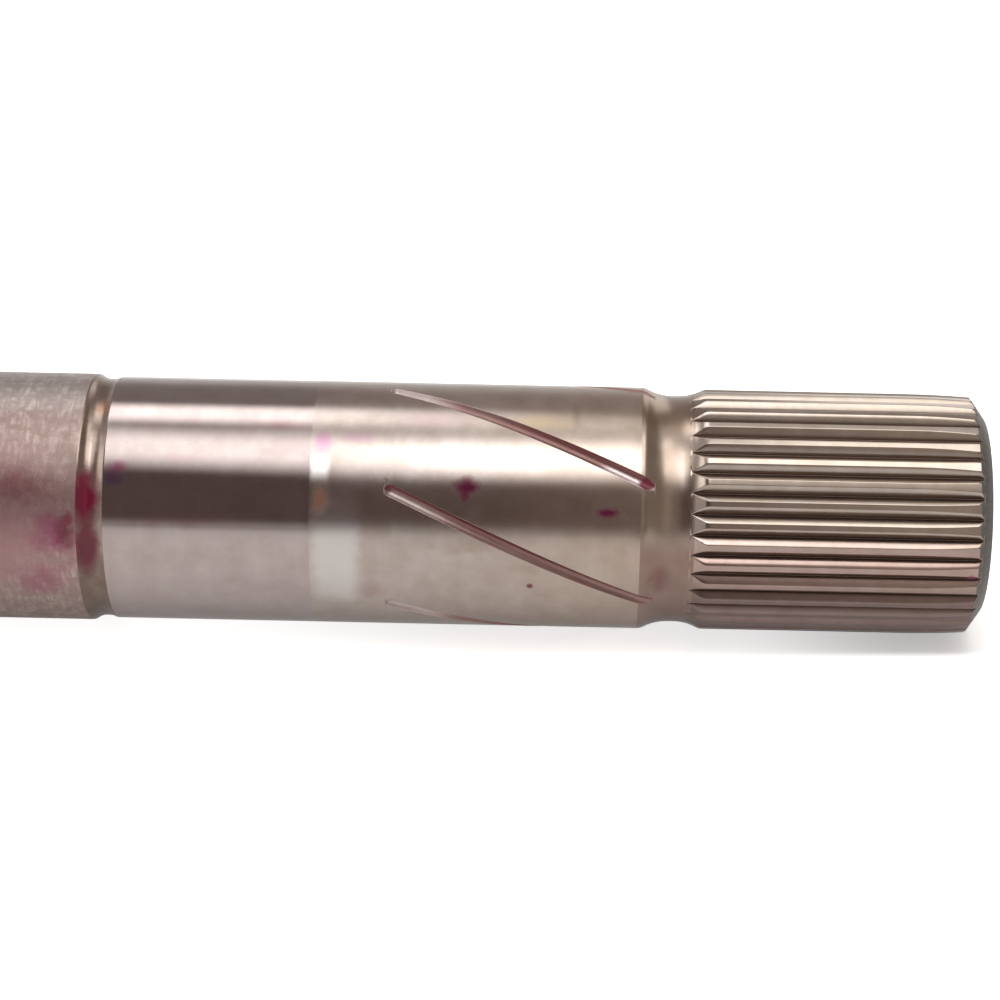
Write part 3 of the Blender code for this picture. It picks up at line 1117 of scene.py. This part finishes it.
@dataclass(frozen=True)
class SteelFinish:
    """Bare steel with the marks that one way of working leaves on it, and on some finishes painted shade and
    painted highlights.
    """

    name: str
    colour: Colour
    shade: Colour
    roughness: float
    roughness_spread: float
    lines: float
    line_height: float
    blotch_size: float
    blotch_spread: float
    break_up: float = 60.0
    streaks: float = 0.22
    hatching: float = 0.0
    grain_height: float = 0.0
    # Tints that grow from place to place: films on the steel, and on some finishes painted shade on one side
    films_and_shades: tuple[FilmAndShade, ...] = ()
    # Painted shade in the roots of the tooth spaces, from a share of the cut's depth down to the bottom
    root_shade: Colour | None = None
    root_shade_from: float = 0.25
    cut_roughness: float = 0.0
    # Painted shade on the upper walls of the grooves, which face down, up to an angle round the shaft
    upper_wall_shade: Colour | None = None
    upper_wall_shade_top: float = 45.0
    stains_and_highlights: tuple[StainAndHighlight, ...] = ()

    def material(self, effects: Effects) -> bpy.types.Material:
        """Builds the material.

        Args:
            effects: the shared node groups.

        Returns:
            The material.
        """
        steel = bpy.data.materials.new(self.name)
        steel.use_nodes = True
        sheet = Sheet(steel.node_tree)
        shader = steel.node_tree.nodes["Principled BSDF"]
        position = sheet.add("ShaderNodeTexCoord").outputs["Object"]
        place = sheet.group(effects.place, Position=position)
        lines = sheet.group(effects.turning, Position=position, Lines=self.lines, Break_Up=self.break_up)
        mottle = sheet.group(
            effects.mottle, Position=position, Size=self.blotch_size, Spread=self.blotch_spread
        )
        colour = sheet.mix(mottle.outputs["Mask"], self.colour, self.shade)
        streaks = sheet.scale(lines.outputs["Bands"], *STREAK_BAND, 0.0, self.streaks)
        colour = sheet.mix(streaks, colour, self.shade)
        if self.hatching:
            hatching = sheet.scale(lines.outputs["Height"], *HATCH_BAND, 0.0, self.hatching)
            colour = sheet.mix(hatching, colour, self.shade)
        for film_and_shade in self.films_and_shades:
            share = sheet.scale(place.outputs[film_and_shade.way.value], film_and_shade.start, film_and_shade.full, 0.0, 1.0)
            colour = sheet.mix(share, colour, sheet.mix(1.0, colour, film_and_shade.tint, "MULTIPLY"))
        colour = self._in_cuts(sheet, place, colour)
        colour, metal = self._stained_and_highlighted(sheet, effects, position, place, colour)
        sheet.feed(shader.inputs["Base Color"], colour)
        sheet.feed(shader.inputs["Metallic"], metal)
        grain = sheet.math("SUBTRACT", mottle.outputs["Grain"], 0.5)
        rough = sheet.math("MULTIPLY_ADD", grain, self.roughness_spread, self.roughness)
        if self.cut_roughness:
            cut = sheet.add("ShaderNodeAttribute", attribute_name=CUT_ATTRIBUTE).outputs["Fac"]
            rough = sheet.math("ADD", rough, sheet.scale(cut, *ROUGH_CUT, 0.0, self.cut_roughness))
        sheet.feed(shader.inputs["Roughness"], rough)
        height = sheet.math("MULTIPLY", lines.outputs["Height"], self.line_height)
        height = sheet.math("MULTIPLY_ADD", mottle.outputs["Grain"], self.grain_height, height)
        bump = sheet.add("ShaderNodeBump")
        bump.inputs["Distance"].default_value = MM
        bump.inputs["Strength"].default_value = 1.0
        sheet.feed(bump.inputs["Height"], height)
        sheet.feed(shader.inputs["Normal"], bump.outputs["Normal"])
        return steel

    def _in_cuts(self, sheet: Sheet, place: bpy.types.Node, colour: Socket) -> Socket:
        """Paints shade into the roots of the tooth spaces and onto the upper walls of the grooves.

        Args:
            sheet: the material's nodes.
            place: the place group.
            colour: the steel's colour so far.

        Returns:
            The colour with the painted shade in the cuts.
        """
        if self.root_shade is not None:
            # Painted shade in the tooth roots, full at the bottom
            cut = sheet.add("ShaderNodeAttribute", attribute_name=CUT_ATTRIBUTE).outputs["Fac"]
            root = sheet.scale(cut, self.root_shade_from, ROOT_SHADE_CUT, 0.0, 1.0)
            colour = sheet.mix(root, colour, self.root_shade)
        # Painted shade on the upper walls of the grooves
        if self.upper_wall_shade is not None:
            side = sheet.add("ShaderNodeAttribute", attribute_name=SIDE_ATTRIBUTE).outputs["Fac"]
            low, high = self.upper_wall_shade_top - WALL_SHADE_FADE, self.upper_wall_shade_top + WALL_SHADE_FADE
            share = sheet.scale(place.outputs["Around"], low, high, 1.0, 0.0)
            share = sheet.math("MULTIPLY", share, sheet.scale(side, *UPPER_WALL_SHADE, 1.0, 0.0))
            colour = sheet.mix(share, colour, self.upper_wall_shade)
        return colour

    def _stained_and_highlighted(
        self, sheet: Sheet, effects: Effects, position: Socket, place: bpy.types.Node, colour: Socket
    ) -> tuple[Socket, Level]:
        """Lays the stains and the painted highlights over the steel.

        Args:
            sheet: the material's nodes.
            effects: the shared node groups.
            position: the point's place in the shaft's own frame.
            place: the place group.
            colour: the steel's colour so far.

        Returns:
            The colour with its stains and painted highlights, and how much bare metal shows.
        """
        metal: Level = 1.0
        for stain_and_highlight in self.stains_and_highlights:
            patch = sheet.group(
                effects.stain_and_highlight,
                Position=position,
                Along=place.outputs["Along"],
                Around=place.outputs["Around"],
                Middle_Along=stain_and_highlight.along,
                Middle_Around=stain_and_highlight.around,
                Half_Length=stain_and_highlight.half_length,
                Half_Angle=stain_and_highlight.half_angle,
                Softness=stain_and_highlight.softness,
                Ragged=stain_and_highlight.ragged,
                Squareness=stain_and_highlight.squareness,
            )
            share = sheet.math("MULTIPLY", patch.outputs["Mask"], stain_and_highlight.strength)
            # Keeps the painted highlight to the lower walls of the grooves
            if stain_and_highlight.lower_wall:
                side = sheet.add("ShaderNodeAttribute", attribute_name=SIDE_ATTRIBUTE).outputs["Fac"]
                share = sheet.math("MULTIPLY", share, sheet.scale(side, *LOWER_WALL_HIGHLIGHT, 0.0, 1.0))
            colour = sheet.mix(share, colour, stain_and_highlight.stain_and_highlight_colour.value)
            if stain_and_highlight.body:
                bare = sheet.math("MULTIPLY_ADD", share, -stain_and_highlight.body, 1.0)
                metal = sheet.math("MULTIPLY", bare, metal)
        return colour, metal


def steels(effects: Effects) -> dict[Finish, bpy.types.Material]:
    """The material of every finish.

    Args:
        effects: the shared node groups.

    Returns:
        Each finish's material.
    """
    finishes = {
        Finish.FORGED: SteelFinish(
            name="forged_skin",
            colour=(0.71, 0.66, 0.64),
            shade=(0.44, 0.38, 0.36),
            roughness=0.33,
            roughness_spread=0.35,
            lines=1700,
            line_height=0.03,
            break_up=300,
            blotch_size=1.5,
            blotch_spread=3.4,
            streaks=0.3,
            hatching=0.8,
            grain_height=0.06,
            # Painted shade: the lower side darker and browner than the top
            films_and_shades=(FilmAndShade((0.70, 0.61, 0.58), Way.AROUND, 52.0, 36.0),),
            stains_and_highlights=(
                StainAndHighlight(-62, -16, 30, 54, 0.95, StainAndHighlightColours.WASH, 0.0, 1.0, 0.7),
                StainAndHighlight(-55.0, 4, 8, 14, 0.4, StainAndHighlightColours.MAROON, 0.05, 1.0, 1.4),
                StainAndHighlight(-48.4, -17, 4.8, 18, 0.6, StainAndHighlightColours.MAGENTA, 0.25, 1.0, 1.4),
                StainAndHighlight(-46.8, -15, 2.1, 14, 0.8, StainAndHighlightColours.MAROON, 0.8, 0.9, 1.0),
                StainAndHighlight(-46.2, -10.5, 1.2, 5.5, 0.7, StainAndHighlightColours.CRIMSON, 0.8, 0.9, 1.0),
                StainAndHighlight(-51.0, -42, 6.5, 12, 0.4, StainAndHighlightColours.MAGENTA, 0.1, 1.0, 1.4),
            ),
        ),
        Finish.UNDERCUT: SteelFinish(
            name="turned_undercut",
            colour=(0.38, 0.31, 0.27),
            shade=(0.24, 0.18, 0.15),
            roughness=0.22,
            roughness_spread=0.1,
            lines=2500,
            line_height=0.002,
            blotch_size=3.0,
            blotch_spread=1.5,
            # Darker towards the bottom
            films_and_shades=(FilmAndShade((0.70, 0.68, 0.66), Way.AROUND, -22.0, -38.0),),
            stains_and_highlights=(
                StainAndHighlight(-43.9, -1.0, 3.3, 20, 1.0, StainAndHighlightColours.CRIMSON, 0.9, 0.65, 0.7, 1.5),
                StainAndHighlight(-43.7, -24, 2.7, 20, 1.0, StainAndHighlightColours.MAROON, 0.9, 0.65, 0.7, 1.5),
                StainAndHighlight(-42.2, 47, 1.6, 8, 0.6, StainAndHighlightColours.RUST, 0.3, 0.8, 0.6),
            ),
        ),
        Finish.SEAL_TRACK: SteelFinish(
            name="polished_seal_track",
            colour=(0.47, 0.415, 0.40),
            shade=(0.40, 0.335, 0.325),
            roughness=0.1,
            roughness_spread=0.06,
            lines=4000,
            line_height=0.0005,
            blotch_size=4.0,
            blotch_spread=1.6,
            stains_and_highlights=(
                StainAndHighlight(-39.4, 9.0, 2.8, 5.8, 0.75, StainAndHighlightColours.INK, 0.2, 0.9, 1.0),
                StainAndHighlight(-38.9, 13.6, 2.2, 4.8, 0.75, StainAndHighlightColours.MAGENTA, 0.35, 1.0, 1.0),
                StainAndHighlight(-29.8, 18.2, 5.5, 4.5, 0.45, StainAndHighlightColours.BLUSH, 0.0, 1.0, 1.6),
                StainAndHighlight(-29.5, -10.5, 14, 4.0, 0.5, StainAndHighlightColours.WASH, 0.15, 1.0, 1.6),
                StainAndHighlight(-12.5, 25, 3.6, 7, 0.6, StainAndHighlightColours.BLUSH, 0.0, 1.0, 1.2),
                StainAndHighlight(-14, 37, 6, 4.5, 0.5, StainAndHighlightColours.WASH, 0.0, 1.0, 1.2),
            ),
        ),
        Finish.GROUND: SteelFinish(
            name="ground_journal",
            colour=(0.48, 0.425, 0.395),
            shade=(0.40, 0.34, 0.30),
            roughness=0.19,
            roughness_spread=0.07,
            lines=3500,
            line_height=0.0015,
            blotch_size=4.0,
            blotch_spread=1.8,
            films_and_shades=(FilmAndShade((1.0, 0.95, 0.89), Way.ALONG, 2.0, 40.0),),
            stains_and_highlights=(
                StainAndHighlight(-5.6, -25, 4.9, 37, 0.85, StainAndHighlightColours.PALE, 0.0, 0.55, 0.5, 4.0),
                # A painted highlight: the bright reflection carried further down the band
                StainAndHighlight(-8.1, 15, 1.9, 8.0, 0.9, StainAndHighlightColours.CHALK_HIGHLIGHT, 0.0, 0.6, 0.4, 4.0),
                StainAndHighlight(-7.9, 1.0, 1.9, 10.0, 0.9, StainAndHighlightColours.RUST, 0.5, 0.9, 0.8),
                StainAndHighlight(-7.7, 29, 1.8, 8.0, 0.75, StainAndHighlightColours.PINK, 0.0, 0.8, 0.8),
                StainAndHighlight(-2.2, 31.5, 4.6, 5.0, 0.4, StainAndHighlightColours.PINK, 0.0, 1.0, 1.2),
                StainAndHighlight(8.4, 42, 9.0, 6.5, 0.5, StainAndHighlightColours.BLUSH, 0.0, 1.0, 1.4),
                StainAndHighlight(14.6, 7.8, 3.3, 6.8, 1.0, StainAndHighlightColours.DEEP, 0.55, 0.85, 0.9, 1.4),
                StainAndHighlight(14.2, 3.6, 1.1, 5.0, 0.8, StainAndHighlightColours.DEEP, 0.4, 0.8, 0.8),
                StainAndHighlight(36.1, -2.5, 3.2, 4.4, 1.0, StainAndHighlightColours.DEEP, 0.6, 1.0, 1.2),
                StainAndHighlight(25.4, 42, 7.5, 9.0, 0.6, StainAndHighlightColours.GOLD, 0.0, 1.0, 0.8),
                StainAndHighlight(31.0, 46, 1.1, 11.0, 0.5, StainAndHighlightColours.UMBER, 0.0, 1.0, 1.0),
                StainAndHighlight(16.0, -18, 9.0, 7.0, 0.4, StainAndHighlightColours.UMBER, 0.0, 1.0, 2.0),
                StainAndHighlight(27.0, -30, 6.0, 5.0, 0.3, StainAndHighlightColours.UMBER, 0.0, 1.0, 2.0),
                StainAndHighlight(-0.4, -45, 3.2, 8.0, 0.35, StainAndHighlightColours.WASH, 0.1, 1.0, 1.2),
                StainAndHighlight(24.3, -40.2, 0.7, 2.2, 0.9, StainAndHighlightColours.CRIMSON, 0.8, 0.8, 0.3),
            ),
        ),
        Finish.GROOVE: SteelFinish(
            name="groove_walls",
            colour=(0.58, 0.51, 0.50),
            shade=(0.50, 0.41, 0.40),
            roughness=0.5,
            roughness_spread=0.1,
            lines=2500,
            line_height=0.001,
            blotch_size=3.0,
            blotch_spread=1.6,
            films_and_shades=(FilmAndShade((0.60, 0.45, 0.43), Way.ALONG, 7.0, 14.0),),
            # Painted shade: dark maroon on the upper walls, which face down
            upper_wall_shade=(0.25, 0.115, 0.11),
            upper_wall_shade_top=42.0,
            stains_and_highlights=(
                # A painted highlight on the lower walls, which face up
                StainAndHighlight(39.5, 15, 6.0, 9.0, 1.0, StainAndHighlightColours.LIGHT, 0.0, 0.5, 0.2, 3.0, lower_wall=True),
                StainAndHighlight(41.9, 11.0, 1.6, 4.0, 0.95, StainAndHighlightColours.CRIMSON, 1.0, 0.5, 0.3),
                StainAndHighlight(2.5, 6.3, 0.8, 2.4, 0.8, StainAndHighlightColours.MAROON, 1.0, 0.8, 0.3),
            ),
        ),
        Finish.NECK: SteelFinish(
            name="relief_neck",
            colour=(0.43, 0.36, 0.31),
            shade=(0.33, 0.255, 0.21),
            roughness=0.22,
            roughness_spread=0.1,
            lines=2500,
            line_height=0.002,
            blotch_size=5.0,
            blotch_spread=1.5,
            # Darker and warmer over the top, and painted shade, darker and browner, on the lower side
            films_and_shades=(
                FilmAndShade((0.85, 0.80, 0.73), Way.AROUND, 38.0, 47.0),
                FilmAndShade((0.77, 0.69, 0.69), Way.AROUND, -4.0, -26.0),
            ),
            stains_and_highlights=(StainAndHighlight(44.3, -37, 2.4, 12, 0.4, StainAndHighlightColours.MAROON, 0.6, 1.0, 0.8),),
        ),
        Finish.SPLINE: SteelFinish(
            name="spline_teeth",
            colour=(0.46, 0.40, 0.355),
            shade=(0.39, 0.33, 0.28),
            roughness=0.15,
            roughness_spread=0.08,
            lines=1400,
            line_height=0.0006,
            blotch_size=3.0,
            blotch_spread=1.8,
            films_and_shades=(
                FilmAndShade((0.96, 0.84, 0.86), Way.AROUND, -6.0, -22.0),
                # Darker towards the bottom
                FilmAndShade((0.55, 0.55, 0.57), Way.AROUND, -32.0, -50.0),
            ),
            # Painted shade in the roots of the tooth spaces
            root_shade=(0.12, 0.085, 0.07),
            root_shade_from=0.45,
            cut_roughness=0.1,
            stains_and_highlights=(
                StainAndHighlight(92.2, -31.8, 1.1, 2.8, 0.8, StainAndHighlightColours.MAGENTA, 1.0, 0.8, 0.3),
                StainAndHighlight(54.7, -8.2, 6, 2.6, 0.4, StainAndHighlightColours.WASH, 0.3, 1.0, 0.6),
            ),
        ),
        Finish.END_FACE: SteelFinish(
            name="faced_end",
            colour=(0.085, 0.08, 0.07),
            shade=(0.07, 0.066, 0.058),
            roughness=0.35,
            roughness_spread=0.1,
            lines=2500,
            line_height=0.002,
            blotch_size=5.0,
            blotch_spread=1.4,
        ),
    }
    return {finish: steel.material(effects) for finish, steel in finishes.items()}


@dataclass(frozen=True)
class WallStrip:
    """A soft-edged strip of the light tent's wall, between two angles above the front horizon."""

    light: Colour
    low: float
    high: float
    low_blur: float
    high_blur: float
    left: float = -3.0
    right: float = 3.0
    end_blur: float = 0.05
    slant: float = 0.0

    def mask(self, sheet: Sheet, angle: Socket, along: Socket) -> Socket:
        """How much of the strip shows at a point of the wall.

        Args:
            sheet: the wall's material.
            angle: the point's angle above the front horizon.
            along: its place along X in metres.

        Returns:
            The share, 0 to 1.
        """
        level = sheet.math("MULTIPLY_ADD", along, -self.slant, angle)
        share = sheet.scale(level, self.low - self.low_blur, self.low + self.low_blur, 0.0, 1.0)
        for value, edge, blur in ((level, self.high, self.high_blur), (along, self.right, self.end_blur)):
            share = sheet.math("MULTIPLY", share, sheet.scale(value, edge - blur, edge + blur, 1.0, 0.0))
        left = sheet.scale(along, self.left - self.end_blur, self.left + self.end_blur, 0.0, 1.0)
        return sheet.math("MULTIPLY", share, left)


@dataclass(frozen=True)
class LightTent:
    """A half-round tent of lit white cloth over the table, with darker and brighter strips."""

    radius: float = 0.9
    length: float = 3.6
    cloth: Colour = (1.05, 1.03, 1.0)
    strips: tuple[WallStrip, ...] = (
        # Behind the shaft and above it
        WallStrip((0.66, 0.635, 0.62), 140, 210, 8, 2),
        WallStrip((0.62, 0.56, 0.55), 80, 116, 4, 4, right=-0.1, end_blur=0.06),
        WallStrip((1.35, 1.31, 1.28), 136, 178, 8, 8, left=0.13, end_blur=0.03),
        WallStrip((0.43, 0.375, 0.355), 116.5, 161, 10, 14, right=0.13, end_blur=0.03),
        WallStrip((0.43, 0.375, 0.355), 116.5, 140, 10, 8, left=0.13, end_blur=0.03),
        WallStrip((0.33, 0.29, 0.28), 116.5, 161, 10, 14, right=-0.08, end_blur=0.03),
        WallStrip((2.7, 2.62, 2.58), 102, 121, 7, 7, right=-0.02, end_blur=0.1),
        # In front: dark low down, and above that the bright strips that make the long highlight
        WallStrip((0.15, 0.108, 0.105), -2, 70, 9, 2),
        WallStrip((0.5, 0.43, 0.38), -2, 70, 9, 2, left=0.1, end_blur=0.1),
        WallStrip((2.35, 2.3, 2.25), 53, 82.5, 12, 11, left=-0.225, right=-0.06, end_blur=0.035, slant=-25),
        WallStrip((4.6, 4.6, 4.7), 53, 82.5, 12, 11, left=-0.06, right=0.08, end_blur=0.03, slant=20),
        WallStrip((2.8, 2.72, 2.6), 53, 84, 10, 11, left=0.08, end_blur=0.03, slant=10),
        WallStrip((2.6, 2.53, 2.42), 76, 97, 8, 6, left=0.13, end_blur=0.02),
        # Towards the two ends
        WallStrip((0.35, 0.3, 0.26), -20, 200, 2, 2, left=0.42, end_blur=0.08),
        WallStrip((0.6, 0.56, 0.55), -20, 200, 2, 2, right=-0.42, end_blur=0.08),
        WallStrip((2.0, 1.92, 1.84), 46, 90, 12, 11, right=-0.62, end_blur=0.08),
    )

    def paint(self) -> bpy.types.Material:
        """The glowing cloth."""
        cloth = bpy.data.materials.new("tent_cloth")
        cloth.use_nodes = True
        cloth.node_tree.nodes.clear()
        sheet = Sheet(cloth.node_tree)
        parts = sheet.add("ShaderNodeSeparateXYZ")
        sheet.feed(parts.inputs[0], sheet.add("ShaderNodeTexCoord").outputs["Object"])
        along, y, z = parts.outputs
        front = sheet.math("MULTIPLY", y, -1.0)
        angle = sheet.math("MULTIPLY", sheet.math("ARCTAN2", z, front), math.degrees(1))
        colour = self.cloth
        for strip in self.strips:
            colour = sheet.mix(strip.mask(sheet, angle, along), colour, strip.light)
        glow = sheet.add("ShaderNodeEmission")
        sheet.feed(glow.inputs["Color"], colour)
        sheet.feed(sheet.add("ShaderNodeOutputMaterial").inputs["Surface"], glow.outputs[0])
        return cloth

    def pitch(self, height: float) -> None:
        """Stands the tent on the table.

        Args:
            height: where the table top is, in metres.
        """
        bpy.ops.object.select_all(action="DESELECT")
        bpy.ops.mesh.primitive_cylinder_add(
            vertices=192,
            radius=self.radius,
            depth=self.length,
            end_fill_type="NOTHING",
            rotation=(0, math.pi / 2, 0),
        )
        bpy.ops.object.transform_apply(location=True, rotation=True, scale=True)
        tent = bpy.context.object
        tent.name = "light_tent"
        bpy.ops.object.mode_set(mode="EDIT")
        bpy.ops.mesh.select_all(action="SELECT")
        bpy.ops.mesh.bisect(plane_co=(0, 0, height), plane_no=(0, 0, 1), clear_inner=True)
        bpy.ops.object.mode_set(mode="OBJECT")
        bpy.ops.object.shade_smooth()
        tent.data.materials.append(self.paint())
        tent.visible_camera = False


@dataclass(frozen=True)
class Studio:
    """The pale table, the white surround, the light tent and the camera."""

    table_level: float = 0.8
    table_far_shade: float = 0.55
    table_seen: float = 0.9
    table_in_steel: float = 0.23
    table_shade_fade: tuple[float, float] = (-0.5, -0.03)
    shadow_edge: float = -0.0154
    shadow_slant: float = 0.05
    shadow_blur: float = 0.0015
    shadow_depth: float = 0.03
    shadow_steps: tuple[tuple[float, float, float], ...] = (
        (-0.03, 0.02, 0.17),
        (0.055, 0.086, 0.31),
        (0.09, 0.104, -0.38),
    )
    surround: float = 0.5
    tent: LightTent = field(default_factory=LightTent)
    focal_length: float = 97.5
    distance: float = 0.432
    centre_x: float = 0.03131
    centre_up: float = 0.00103
    crop_shift: float = -0.077
    roll: float = 1.21

    def table(self, height: float) -> None:
        """Adds the table top.

        Args:
            height: where the table top is, in metres.
        """
        bpy.ops.object.select_all(action="DESELECT")
        bpy.ops.mesh.primitive_plane_add(size=30, location=(0, 0, height))
        top = bpy.context.object
        top.name = "table_top"
        paint = bpy.data.materials.new("table_top")
        paint.use_nodes = True
        sheet = Sheet(paint.node_tree)
        shader = paint.node_tree.nodes["Principled BSDF"]
        shader.inputs["Roughness"].default_value = 0.9
        shader.inputs["Specular IOR Level"].default_value = 0.0
        parts = sheet.add("ShaderNodeSeparateXYZ")
        sheet.feed(parts.inputs[0], sheet.add("ShaderNodeTexCoord").outputs["Object"])
        along, across, _ = parts.outputs
        # Painted shade: the table darker far in front of the shaft, in its colour and in the glow that the
        # steel mirrors
        far_shade = sheet.scale(across, *self.table_shade_fade, self.table_far_shade, 1.0)
        sheet.feed(shader.inputs["Base Color"], sheet.math("MULTIPLY", far_shade, self.table_level))
        path = sheet.add("ShaderNodeLightPath")
        mirrored = sheet.math("MAXIMUM", path.outputs["Is Glossy Ray"], path.outputs["Is Transmission Ray"])
        glow = sheet.math("MULTIPLY", sheet.math("MULTIPLY", mirrored, self.table_in_steel), far_shade)
        seen = self._seen(sheet, along, across)
        glow = sheet.math("MULTIPLY_ADD", path.outputs["Is Camera Ray"], seen, glow)
        shader.inputs["Emission Color"].default_value = (1, 1, 1, 1)
        sheet.feed(shader.inputs["Emission Strength"], glow)
        top.data.materials.append(paint)

    def _seen(self, sheet: Sheet, along: Socket, across: Socket) -> Socket:
        """How bright the table top is where the camera sees it, with a painted shadow under the splined end.

        Args:
            sheet: the table's material.
            along: place along X in metres.
            across: place along Y in metres.

        Returns:
            The level.
        """
        front = sheet.math("MULTIPLY_ADD", along, -self.shadow_slant, across)
        low, high = self.shadow_edge - self.shadow_blur, self.shadow_edge + self.shadow_blur
        near = sheet.scale(front, low, high, 0.0, 1.0)
        near = sheet.math("MULTIPLY", near, sheet.scale(across, 0.0, self.shadow_depth, 1.0, 0.0))
        # The painted shadow deepens towards the splined end and gives way past its face
        dimmed: Level = 0.0
        for start, end, change in self.shadow_steps:
            dimmed = sheet.math("ADD", dimmed, sheet.scale(along, start, end, 0.0, change))
        return sheet.math("SUBTRACT", self.table_seen, sheet.math("MULTIPLY", near, dimmed))

    def world(self) -> None:
        """Surrounds the table with white where it is seen, and plain light elsewhere."""
        world = bpy.data.worlds.new("surround")
        world.use_nodes = True
        bpy.context.scene.world = world
        sheet = Sheet(world.node_tree)
        path = sheet.add("ShaderNodeLightPath")
        seen = sheet.math("MAXIMUM", path.outputs["Is Camera Ray"], path.outputs["Is Glossy Ray"])
        seen = sheet.math("MAXIMUM", seen, path.outputs["Is Transmission Ray"])
        glow = world.node_tree.nodes["Background"]
        glow.inputs["Color"].default_value = (1, 1, 1, 1)
        level = sheet.math("MULTIPLY_ADD", seen, 1 - self.surround, self.surround)
        sheet.feed(glow.inputs["Strength"], level)

    def camera(self) -> None:
        """Adds the camera at the photograph's place."""
        lens = bpy.data.cameras.new("camera")
        lens.lens = self.focal_length
        lens.sensor_width = 36
        lens.clip_start = 0.01
        lens.shift_x = self.crop_shift
        camera = bpy.data.objects.new("camera", lens)
        elevation, roll = math.radians(VIEW_ELEVATION), math.radians(self.roll)
        back = Vector((0, -math.cos(elevation), math.sin(elevation)))
        level = Vector((1, 0, 0))
        upright = back.cross(level)
        right = level * math.cos(roll) + upright * math.sin(roll)
        up = upright * math.cos(roll) - level * math.sin(roll)
        camera.matrix_world = Matrix.Translation(
            level * self.centre_x + upright * self.centre_up + back * self.distance
        ) @ Matrix((right, up, back)).transposed().to_4x4()
        bpy.context.scene.collection.objects.link(camera)
        bpy.context.scene.camera = camera

    def set_up(self, height: float) -> None:
        """Puts everything in its place round the shaft."""
        self.table(height)
        self.world()
        self.camera()
        self.tent.pitch(height)
        bpy.context.scene.view_settings.view_transform = "Standard"


def main() -> None:
    """Builds the shaft, dresses it and sets up the studio."""
    logging.basicConfig(level=logging.INFO, format="%(message)s")
    shaft = AxleShaft()
    piece = shaft.build()
    LOG.info("%s: %d faces", piece.name, len(piece.data.polygons))
    shaft.dress(piece, steels(Effects()))
    LOG.info("dressed in %d finishes", len(piece.data.materials))
    Studio().set_up(CAD_BOX[0].z)
    bpy.context.view_layer.update()


if __name__ == "__main__":
    main()
